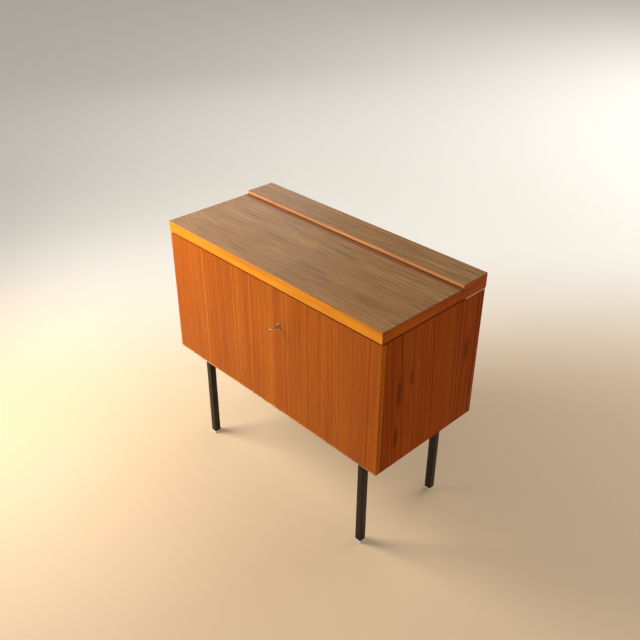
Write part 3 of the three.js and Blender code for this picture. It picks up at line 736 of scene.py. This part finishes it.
# %% Finishes
# A finish is a material with the name of its slot.
LAMINATE, CHIPBOARD = (walnut_laminate, "laminate_top"), (chipboard, "chipboard")
TEAK_FRONT, SHADED_TEAK_SIDE = (teak_front, "front_teak"), (shaded_teak_side, "side_teak")
ORANGE, SALMON = (orange_wood, "front_edge"), (salmon_wood, "strip_edge")
DARK_SIDE_EDGE, PACKING = (dark_side_wood, "side_edge"), (packing_wood, "packing")
PALE, HARDBOARD = (pale_wood, "pale_wood"), (hardboard, "hardboard")
PAINT, PLASTIC = (leg_paint, "leg_paint"), (white_plastic, "white_plastic")
NICKEL, NICKEL_WITH_PAINTED_REFLECTION = (dull_nickel, "nickel"), (nickel_with_painted_reflection, "nickel")
BRASS, BROWN_BRASS, STEEL = (dulled_brass, "brass"), (dark_brown_brass, "brown_brass"), (zinc_steel, "steel")
print("finishes named")


# %% [markdown]
# ## Boards with eased edges
# No real board has a perfectly sharp edge: the maker takes it off with a stroke of sandpaper. So every
# board is a block at its CAD solid's size and place, with all its edges bevelled by a fraction of a
# millimetre. A bevel with hardened normals keeps the big faces flat and lets only the edge turn.

# %% Board helpers
def only(*objects):
    """Selects these objects and nothing else."""
    bpy.ops.object.select_all(action="DESELECT")
    for item in objects:
        item.select_set(True)
    bpy.context.view_layer.objects.active = objects[0]


def settle(piece):
    """Moves a piece's place, turn and size into its mesh."""
    only(piece)
    bpy.ops.object.transform_apply(location=True, rotation=True, scale=True)
    return piece


def ease(piece, width, segments=3, angle=35):
    """Rounds every edge that is sharper than the angle, and smooths the shading of the rounds only."""
    only(piece)
    bpy.ops.object.shade_smooth_by_angle(angle=math.radians(angle))
    bevel = piece.modifiers.new("eased edges", "BEVEL")
    bevel.width = width
    bevel.segments = segments
    bevel.limit_method = "ANGLE"
    bevel.angle_limit = math.radians(angle)
    bevel.harden_normals = True
    bpy.ops.object.modifier_apply(modifier=bevel.name)
    return piece


def dress(piece, finish, body, *nodes):
    """Gives a piece its material and its body, and hides the CAD nodes that it stands for."""
    material, slot = finish
    piece.data.materials.clear()
    piece.data.materials.append(material)
    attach(piece, body)
    if nodes:
        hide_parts(*nodes)
    return piece


def block(name, low, high):
    """A block between two corners, with its place in its mesh."""
    bpy.ops.object.select_all(action="DESELECT")
    bpy.ops.mesh.primitive_cube_add(size=1, location=(Vector(low) + Vector(high)) / 2)
    piece = bpy.context.object
    piece.name = name
    piece.scale = Vector(high) - Vector(low)
    return settle(piece)


# %% Boards
HANDS = ("left", "right")
# Piece, CAD node, finish, body and easing in millimetres.
BOARDS = [
    ("lid_top_sheet", "lid_laminate", LAMINATE, "lid", 0.3),
    ("lid_board", "lid_core", CHIPBOARD, "lid", 0.4),
    ("strip_top_sheet", "strip_laminate", LAMINATE, "cabinet", 0.3),
    ("strip_board", "strip_core", CHIPBOARD, "cabinet", 0.4),
]
for hand in HANDS:
    BOARDS.append((f"{hand}_packing", f"strip_packing_{hand}", PACKING, "cabinet", 0.3))
    BOARDS.append((f"{hand}_wall", f"{hand}_side", SHADED_TEAK_SIDE, "cabinet", 0.7))
BOARDS += [
    ("floor_panel", "bottom_board", CHIPBOARD, "cabinet", 0.6),
    ("back_panel", "back_board", HARDBOARD, "cabinet", 0.5),
    ("shelf", "bay_shelf", PALE, "cabinet", 1.0),
    ("front_cross_rail", "front_rail", PALE, "cabinet", 0.8),
    ("hinge_cross_rail", "hinge_rail", PALE, "cabinet", 0.8),
]
for name, node, finish, body, easing in BOARDS:
    dress(ease(block(name, *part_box(node)), easing * MM), finish, body, node)
print("boards:", len(BOARDS))


# %% [markdown]
# ## Pieces copied from their solids
# Where a CAD solid already holds the shape, such as a tray with its compartments or a wall with its
# grooves, a copy of it is the quickest start. The copy's triangles are merged back into whole faces, and
# then its edges are eased like the boards'. Small hardware gets fewer segments, and keeps the facets of
# its round parts.

# %% Copy helper
MERGE_DISTANCE, FLAT_ANGLE = 0.02 * MM, math.radians(1.0)
# How an edge is eased: segments, and the angle in degrees that it has to be sharper than.
ROUNDED, LIGHT, FACETED, TURNED = (3, 35), (2, 35), (2, 50), (3, 50)


def eased_copy(name, node, finish, body, easing, kind=ROUNDED):
    """A merged copy of a CAD solid in its place, eased in millimetres. Kind says how."""
    only(frame["nodes"][node])
    bpy.ops.object.duplicate()
    piece = bpy.context.object
    bpy.ops.object.parent_clear(type="CLEAR_KEEP_TRANSFORM")
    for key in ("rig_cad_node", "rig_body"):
        del piece[key]
    piece.name = name
    piece.data.name = name
    bpy.ops.object.mode_set(mode="EDIT")
    bpy.ops.mesh.select_all(action="SELECT")
    bpy.ops.mesh.remove_doubles(threshold=MERGE_DISTANCE)
    bpy.ops.mesh.dissolve_limited(angle_limit=FLAT_ANGLE)
    bpy.ops.object.mode_set(mode="OBJECT")
    return dress(ease(piece, easing * MM, *kind), finish, body, node)


# %% Lippings, trays and walls
LIPPING_EASING, TRAY_EASING, SLOTTED_EASING, WALL_EASING, FLAP_EASING = 0.45, 0.9, 0.25, 0.8, 0.7

eased_copy("lid_front_edge", "lid_front_lipping", ORANGE, "lid", LIPPING_EASING)
eased_copy("strip_front_edge", "strip_front_lipping", SALMON, "cabinet", LIPPING_EASING)
for hand in HANDS:
    eased_copy(f"lid_{hand}_edge", f"lid_{hand}_lipping", DARK_SIDE_EDGE, "lid", LIPPING_EASING)
    eased_copy(f"strip_{hand}_edge", f"strip_{hand}_lipping", DARK_SIDE_EDGE, "cabinet", LIPPING_EASING)
for node in ("tray_bottom", "tray_middle", "tray_top", "till_upper", "till_lower"):
    eased_copy(f"{node}_box", node, PALE, node, TRAY_EASING)
eased_copy("middle_wall", "partition", PALE, "cabinet", SLOTTED_EASING, LIGHT)
for name, node in (("tray_runner_wall", "tray_wall"), ("front_ledge", "till_ledge_front"),
                   ("back_ledge", "till_ledge_back")):
    eased_copy(name, node, PALE, "cabinet", WALL_EASING)
print("lippings, trays, tills and walls copied")

# %% Flap
BANDED = 1 * MM
front_flap = eased_copy("front_flap", "flap_panel", TEAK_FRONT, "flap", FLAP_EASING)
front_flap.data.materials.append(teak_edge)
for face in front_flap.data.polygons:
    face.material_index = int(abs(face.normal.x) > 0.9 and abs(face.center.x) > FLAP_HIGH.x - BANDED)
print("flap faces with edge banding:", sum(face.material_index for face in front_flap.data.polygons))

# %% Hinges, lock and stays
HARDWARE = [
    ("lid_leaf", "lid_hinge_leaf", BROWN_BRASS, "lid", 0.15, FACETED),
    ("strip_leaf", "strip_hinge_leaf", BROWN_BRASS, "cabinet", 0.15, FACETED),
    ("flap_leaf", "flap_hinge_leaf", BRASS, "flap", 0.15, FACETED),
    ("floor_leaf", "floor_hinge_leaf", BRASS, "cabinet", 0.15, FACETED),
    ("lid_pin", "lid_hinge_pin", STEEL, "cabinet", 0.1, FACETED),
    ("flap_pin", "flap_hinge_pin", STEEL, "cabinet", 0.1, FACETED),
    ("lock_box", "lock_case", STEEL, "flap", 0.5),
    ("bolt", "lock_bolt", BRASS, "bolt", 0.8),
    ("striker", "strike_plate", BRASS, "cabinet", 0.2, LIGHT),
]
for hand in HANDS:
    HARDWARE.append((f"{hand}_stay_bar", f"stay_{hand}", STEEL, f"stay_{hand}", 0.3, FACETED))
    HARDWARE.append((f"{hand}_stay_hinge", f"stay_bracket_{hand}", STEEL, "flap", 0.2, FACETED))
    HARDWARE.append((f"{hand}_stay_stud", f"stay_stud_{hand}", STEEL, "cabinet", 0.2, FACETED))
for row in HARDWARE:
    eased_copy(*row)
print("hardware copied:", len(HARDWARE))


# %% [markdown]
# ## The key
# A furniture key is a casting: an oval ring to turn it by, two collars that stop it at the lock, a
# round stem and a flat bit. The ring is a torus stretched to an oval and pressed flatter. The key is
# modelled upright and then turned about its stem by as much as the lock's range says it is turned.

# %% Helpers for round and joined pieces
ALONG_X, ALONG_Y, ALONG_Z = (0, QUARTER, 0), (QUARTER, 0, 0), (0, 0, 0)


def cylinder(name, radius, low, high, turn=ALONG_Y, vertices=32):
    """A cylinder from one point to another along an axis."""
    bpy.ops.object.select_all(action="DESELECT")
    bpy.ops.mesh.primitive_cylinder_add(
        vertices=vertices, radius=radius, depth=(Vector(high) - Vector(low)).length,
        location=(Vector(low) + Vector(high)) / 2, rotation=turn)
    piece = bpy.context.object
    piece.name = name
    return settle(piece)


def joined(name, parts):
    """Joins parts into one piece."""
    only(*parts)
    if len(parts) > 1:
        bpy.ops.object.join()
    piece = bpy.context.object
    piece.name = name
    piece.data.name = name
    return piece


# %% Key
BOW_LONG, BOW_TALL, BOW_THICK = 20 * MM, 23 * MM, 2.6 * MM
BOW_EYE = 0.56  # the eye's share of the bow
STEM_RADIUS, STEM_SUNK = 2.5 * MM, 2.2 * MM
# Radius, start and end in millimetres, both counted from the end of the bow.
COLLARS = ((3.2, 0.4, 1.6), (3.7, 1.6, 4))
# Start and end of each step of the bit, and how far it reaches down.
BIT_STEPS = ((37.8, 39.6, 7.5), (39.6, 41.4, 5.6), (41.4, 43.8, 7.5))
BIT_HALF, KEY_EASING, BOW_FACETS = 1.1 * MM, 0.35 * MM, (56, 14)

JOINTS = {joint["name"]: joint for joint in frame["record"]["behaviour"]["joints"]}
KEY_LOW, KEY_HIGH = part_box("key")
KEYHOLE = Vector(JOINTS["key_turn"]["pos_m"])
KEY_TURNED = math.radians(-JOINTS["key_turn"]["range_deg"][0])


def on_stem(y, down=0.0, aside=0.0):
    """A point on the keyhole's axis, or below it and to its side."""
    return Vector((KEYHOLE.x + aside, y, KEYHOLE.z - down))


def make_bow():
    """The oval ring, at the key's near end."""
    major, minor = BOW_LONG / 4 * (1 + BOW_EYE), BOW_LONG / 4 * (1 - BOW_EYE)
    bpy.ops.object.select_all(action="DESELECT")
    bpy.ops.mesh.primitive_torus_add(major_radius=major, minor_radius=minor, major_segments=BOW_FACETS[0],
                                     minor_segments=BOW_FACETS[1], rotation=ALONG_X)
    bow = settle(bpy.context.object)
    bow.scale = (BOW_THICK / (2 * minor), 1, BOW_TALL / BOW_LONG)
    bow.location = on_stem(KEY_LOW.y + BOW_LONG / 2)
    return settle(bow)


def make_key():
    """The key, upright and then turned about its stem."""
    bow_end = KEY_LOW.y + BOW_LONG
    bow = make_bow()
    rounds = [cylinder("stem", STEM_RADIUS, on_stem(bow_end - STEM_SUNK), on_stem(KEY_HIGH.y))]
    rounds += [cylinder("collar", radius * MM, on_stem(bow_end + start * MM), on_stem(bow_end + end * MM))
               for radius, start, end in COLLARS]
    bits = [block("bit", on_stem(bow_end + start * MM, reach * MM, -BIT_HALF),
                  on_stem(bow_end + end * MM, 0, BIT_HALF)) for start, end, reach in BIT_STEPS]
    for part in rounds:
        ease(part, KEY_EASING, *TURNED)
    key = joined("door_key", [bow, *rounds, *bits])
    bpy.ops.object.shade_smooth_by_angle(angle=math.radians(40))
    spot = Matrix.Translation(KEYHOLE)
    key.matrix_world = spot @ Matrix.Rotation(KEY_TURNED, 4, "Y") @ spot.inverted()
    return settle(key)


dress(make_key(), NICKEL, "key", "key")
print("key turned by", round(math.degrees(KEY_TURNED), 1), "degrees")


# %% [markdown]
# ## The keyhole plate
# The plate is a round, slightly domed disc with a keyhole through it. A disc gets rings from insets,
# each set a little further forward, and a cutter in the shape of a keyhole goes through it.

# %% Helpers for edit mode and cuts
def pick(piece, kind, chosen):
    """Goes into edit mode with only the chosen faces or edges of a piece selected."""
    bpy.ops.object.mode_set(mode="EDIT")
    bpy.ops.mesh.select_mode(type=kind)
    bpy.ops.mesh.select_all(action="DESELECT")
    bpy.ops.object.mode_set(mode="OBJECT")
    for item in piece.data.polygons if kind == "FACE" else piece.data.edges:
        item.select = chosen(item)
    bpy.ops.object.mode_set(mode="EDIT")


def cut_with(piece, cutter):
    """Cuts one object out of another and removes the cutter."""
    only(piece)
    carve = piece.modifiers.new("cut", "BOOLEAN")
    carve.operation = "DIFFERENCE"
    carve.solver = "EXACT"
    carve.object = cutter
    bpy.ops.object.modifier_apply(modifier=carve.name)
    bpy.data.objects.remove(cutter, do_unlink=True)
    return piece


# %% Keyhole plate
RIM_DEPTH, CUTTER_PAST = 0.9 * MM, 2 * MM
DOME_STEPS = ((0.5, 0.35), (0.9, 0.30), (1.6, 0.2))  # inset and rise in millimetres
HOLE_RADIUS, SLOT_HALF, SLOT_DROP = 3.4 * MM, 1.6 * MM, 8.2 * MM


def make_plate():
    """A domed disc with a keyhole."""
    low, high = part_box("escutcheon")
    middle = (low + high) / 2
    plate = cylinder("keyhole_plate", (high.z - low.z) / 2, (middle.x, low.y + RIM_DEPTH, middle.z),
                     (middle.x, high.y, middle.z), vertices=64)
    pick(plate, "FACE", lambda face: face.normal.y < -0.9)
    for inset, rise in DOME_STEPS:
        bpy.ops.mesh.inset(thickness=inset * MM)
        bpy.ops.transform.translate(value=(0, -rise * MM, 0))
    bpy.ops.object.mode_set(mode="OBJECT")
    near, far = low.y - CUTTER_PAST, high.y + CUTTER_PAST
    cut_with(plate, cylinder("hole", HOLE_RADIUS, on_stem(near), on_stem(far), vertices=40))
    slot_low, slot_high = on_stem(near, SLOT_DROP, -SLOT_HALF), on_stem(far, 0, SLOT_HALF)
    cut_with(plate, block("slot", slot_low, slot_high))
    only(plate)
    bpy.ops.object.shade_smooth_by_angle(angle=math.radians(30))
    return plate


dress(make_plate(), NICKEL_WITH_PAINTED_REFLECTION, "flap", "escutcheon")
print("keyhole plate made")


# %% [markdown]
# ## Screws
# Hardware is held by slotted countersunk screws, dozens of the same one. So a screw head is made once:
# a low cylinder with an eased rim and a slot cut across it. Copies are turned to face their plate, each
# with its slot at another angle, because nobody lines them up, and are joined into one piece per plate.

# %% Screw head
HEAD_RADIUS, HEAD_TALL, HEAD_EASING = 3 * MM, 0.5 * MM, 0.2 * MM
HEAD_SLOT_LOW, HEAD_SLOT_HIGH = (-4 * MM, -0.35 * MM, 0.2 * MM), (4 * MM, 0.35 * MM, 1 * MM)
luck = random.Random(31)


def make_screw_head():
    """A slotted head, standing on z = 0 and facing up."""
    head = cylinder("screw_head", HEAD_RADIUS, (0, 0, 0), (0, 0, HEAD_TALL), ALONG_Z, 20)
    ease(head, HEAD_EASING, *FACETED)
    return cut_with(head, block("slot", HEAD_SLOT_LOW, HEAD_SLOT_HIGH))


def screws(name, places, facing, radius, finish, body):
    """Screw heads at places, all facing one way, joined into one piece."""
    heads = []
    turn = Vector(facing).to_track_quat("Z", "Y").to_matrix().to_4x4()
    scale = Matrix.Diagonal((radius / HEAD_RADIUS, radius / HEAD_RADIUS, 1, 1))
    for place in places:
        only(screw_head)
        bpy.ops.object.duplicate()
        head = bpy.context.object
        spin = Matrix.Rotation(luck.uniform(0, math.pi), 4, "Z")
        head.matrix_world = Matrix.Translation(place) @ turn @ spin @ scale
        heads.append(settle(head))
    return dress(joined(name, heads), finish, body)


def between(start, end, count):
    """Evenly spread values, the first and last a half step in from the ends."""
    step = (end - start) / count
    return [start + step * (index + 0.5) for index in range(count)]


screw_head = make_screw_head()
print("screw head made")

# %% Screws in the hinges
LEAF_THICK, KNUCKLE, HEAD_SUNK = 0.75 * MM, 1.9 * MM, 0.35 * MM
LEAF_HEAD, FLOOR_HEAD, SCREWS_PER_LEAF = 2.6 * MM, 3 * MM, 9
ROW_BELOW, FLOOR_ROW_IN, FLOOR_ROW_UP = 1 * MM, 8 * MM, 0.3 * MM
TO_BACK, TO_FRONT, DOWN = (0, 1, 0), (0, -1, 0), (0, 0, -1)
lid_low, lid_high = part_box("lid_hinge_leaf")
floor_low, floor_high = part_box("floor_hinge_leaf")
lid_axis = Vector(JOINTS["lid_hinge"]["pos_m"])
hinge_x = between(lid_low.x, lid_high.x, SCREWS_PER_LEAF)
leaf_row = (lid_low.z + lid_axis.z) / 2 - ROW_BELOW
lid_face = lid_axis.y - KNUCKLE + LEAF_THICK - HEAD_SUNK
strip_face = lid_axis.y + KNUCKLE - LEAF_THICK + HEAD_SUNK
floor_row = (floor_high.y - FLOOR_ROW_IN, floor_low.z + FLOOR_ROW_UP)
for name, row, facing, radius, finish, body in (
        ("lid_leaf_screws", (lid_face, leaf_row), TO_BACK, LEAF_HEAD, BROWN_BRASS, "lid"),
        ("strip_leaf_screws", (strip_face, leaf_row), TO_FRONT, LEAF_HEAD, BROWN_BRASS, "cabinet"),
        ("floor_leaf_screws", floor_row, DOWN, FLOOR_HEAD, BRASS, "cabinet")):
    screws(name, [(x, *row) for x in hinge_x], facing, radius, finish, body)
print("hinge screws:", 3 * len(hinge_x))

# %% Screws in the lock, the stays and the back
CASE_INSET, STRIKE_INSET, STRIKE_ASIDE = 5.5 * MM, 6 * MM, 3 * MM
BRACKET_INSET, BRACKET_OUT, BRACKET_DEEP = 4.4 * MM, 5.2 * MM, 1.35 * MM
STUD_SUNK, BACK_SUNK, CASE_SUNK = 0.25 * MM, 0.15 * MM, 0.1 * MM
BACK_SIDE, BACK_BOTTOM, BACK_TOP = 7 * MM, 8 * MM, 10 * MM
CASE_HEAD, STRIKE_HEAD, BRACKET_HEAD, STUD_HEAD, BACK_HEAD = 2.6 * MM, 2.4 * MM, 2.2 * MM, 3.2 * MM, 2.4 * MM
BACK_ACROSS, BACK_TALL = 8, 4

low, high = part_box("lock_case")
case_spots = [(x, high.y - CASE_SUNK, z) for x in (low.x + CASE_INSET, high.x - CASE_INSET)
              for z in (low.z + CASE_INSET, high.z - CASE_INSET)]
screws("lock_screws", case_spots, TO_BACK, CASE_HEAD, STEEL, "flap")
low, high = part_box("strike_plate")
strike_row = (high.x - HEAD_SUNK, (low.y + high.y) / 2 + STRIKE_ASIDE)
screws("strike_screws", [(*strike_row, z) for z in (low.z + STRIKE_INSET, high.z - STRIKE_INSET)], (1, 0, 0),
       STRIKE_HEAD, BRASS, "cabinet")
for hand, sign in (("left", 1), ("right", -1)):
    low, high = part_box(f"stay_bracket_{hand}")
    row = ((low.x if sign > 0 else high.x) + sign * BRACKET_OUT, low.y + BRACKET_DEEP)
    screws(f"{hand}_bracket_screws", [(*row, z) for z in (low.z + BRACKET_INSET, high.z - BRACKET_INSET)],
           TO_BACK, BRACKET_HEAD, STEEL, "flap")
    low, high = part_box(f"stay_stud_{hand}")
    spot = ((high.x if sign > 0 else low.x) - sign * STUD_SUNK, (low.y + high.y) / 2, (low.z + high.z) / 2)
    screws(f"{hand}_stud_slot", [spot], (sign, 0, 0), STUD_HEAD, STEEL, "cabinet")

low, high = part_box("back_board")
back_spots = [(x, z) for x in between(low.x, high.x, BACK_ACROSS)
              for z in (low.z + BACK_BOTTOM, high.z - BACK_TOP)]
back_spots += [(x, z) for x in (low.x + BACK_SIDE, high.x - BACK_SIDE)
               for z in between(low.z, high.z, BACK_TALL)]
screws("back_panel_screws", [(x, high.y - BACK_SUNK, z) for x, z in back_spots], TO_BACK, BACK_HEAD, STEEL,
       "cabinet")
bpy.data.objects.remove(screw_head, do_unlink=True)
print("screws in the back:", len(back_spots))


# %% [markdown]
# ## Legs
# Square tube is drawn through a die, so its corners are round. A leg is a block whose four long edges
# get a wide bevel and whose ends are hollowed by an inset and an extrusion, as deep as the glide's plug.

# %% Legs and rails
TUBE_CORNER, TUBE_WALL, TUBE_MOUTH, TUBE_EASING = 1.4 * MM, 1.5 * MM, 22 * MM, 0.25 * MM


def square_tube(name, node, axis):
    """A hollow-ended square tube with round corners along an axis, 0 to 2, in place of its CAD solid."""
    piece = block(name, *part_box(node))

    def is_long(edge):
        a, b = (piece.data.vertices[index].co for index in edge.vertices)
        return abs(a[axis] - b[axis]) > 2 * TUBE_MOUTH

    pick(piece, "EDGE", is_long)
    bpy.ops.mesh.bevel(offset=TUBE_CORNER, segments=4, profile=0.5)
    pick(piece, "FACE", lambda face: abs(face.normal[axis]) > 0.9)
    bpy.ops.mesh.inset(thickness=TUBE_WALL, use_individual=True)
    bpy.ops.mesh.extrude_region_shrink_fatten(TRANSFORM_OT_shrink_fatten={"value": -TUBE_MOUTH})
    bpy.ops.object.mode_set(mode="OBJECT")
    return dress(ease(piece, TUBE_EASING, *FACETED), PAINT, "cabinet", node)


CORNERS = [(end, hand) for end in ("front", "back") for hand in HANDS]
for end, hand in CORNERS:
    square_tube(f"{end}_{hand}_leg", f"leg_{end}_{hand}", 2)
for place, axis in (("front", 0), ("back", 0), ("left", 1), ("right", 1)):
    square_tube(f"{place}_frame_tube", f"frame_rail_{place}", axis)
print("leg frame made")


# %% [markdown]
# ## Welds and glides
# The frame under the box is welded, so a small ripple of weld runs round the top of each leg where the
# rails meet it. Each glide is a moulded cap: a square foot, a little wider than the tube, whose lower
# rim is chamfered so that it slides over a carpet's edge.

# %% Glides and welds
FOOT_TALL, FOOT_CHAMFER, FOOT_NARROW = 7 * MM, 1.6 * MM, 0.86
FOOT_EASING, PLUG_EASING = 0.6 * MM, 0.5 * MM
PLUG_INSET, PLUG_SUNK = 2.5 * MM, 1 * MM
BEAD_RADIUS, BEADS_PER_SIDE = 1.5 * MM, 9


def make_glide(node):
    """A cap with a chamfered foot and a plug inside the tube."""
    low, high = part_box(node)
    shoulder = low.z + FOOT_TALL
    foot = block("foot", low, (high.x, high.y, shoulder))
    pick(foot, "FACE", lambda face: face.normal.z < -0.9)
    bpy.ops.transform.translate(value=(0, 0, FOOT_CHAMFER))
    bpy.ops.mesh.extrude_region_move(TRANSFORM_OT_translate={"value": (0, 0, -FOOT_CHAMFER)})
    centre = ((low.x + high.x) / 2, (low.y + high.y) / 2, low.z)
    bpy.ops.transform.resize(value=(FOOT_NARROW, FOOT_NARROW, 1), center_override=centre)
    bpy.ops.object.mode_set(mode="OBJECT")
    ease(foot, FOOT_EASING, angle=25)
    plug = block("plug", (low.x + PLUG_INSET, low.y + PLUG_INSET, shoulder - PLUG_SUNK),
                 (high.x - PLUG_INSET, high.y - PLUG_INSET, high.z))
    ease(plug, PLUG_EASING, *LIGHT)
    return joined(f"{node}_cap", [foot, plug])


def make_weld(name, low, high, z):
    """A rippled bead round a square of tube, lying at a height."""
    beads = []
    turns = [(low.x, low.y), (high.x, low.y), (high.x, high.y), (low.x, high.y)]
    for (x0, y0), (x1, y1) in zip(turns, turns[1:] + turns[:1]):
        for step in range(BEADS_PER_SIDE):
            share = step / BEADS_PER_SIDE
            place = (x0 + (x1 - x0) * share, y0 + (y1 - y0) * share, z)
            bpy.ops.object.select_all(action="DESELECT")
            bpy.ops.mesh.primitive_uv_sphere_add(segments=8, ring_count=6, radius=BEAD_RADIUS, location=place)
            beads.append(settle(bpy.context.object))
    bead = joined(name, beads)
    bpy.ops.object.shade_smooth()
    return bead


for end, hand in CORNERS:
    glide = f"glide_{end}_{hand}"
    dress(make_glide(glide), PLASTIC, "cabinet", glide)
    low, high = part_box(f"leg_{end}_{hand}")
    weld_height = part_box(f"frame_rail_{hand}")[0].z
    dress(make_weld(f"{end}_{hand}_weld", low, high, weld_height), PAINT, "cabinet")
print("glides and welds made")
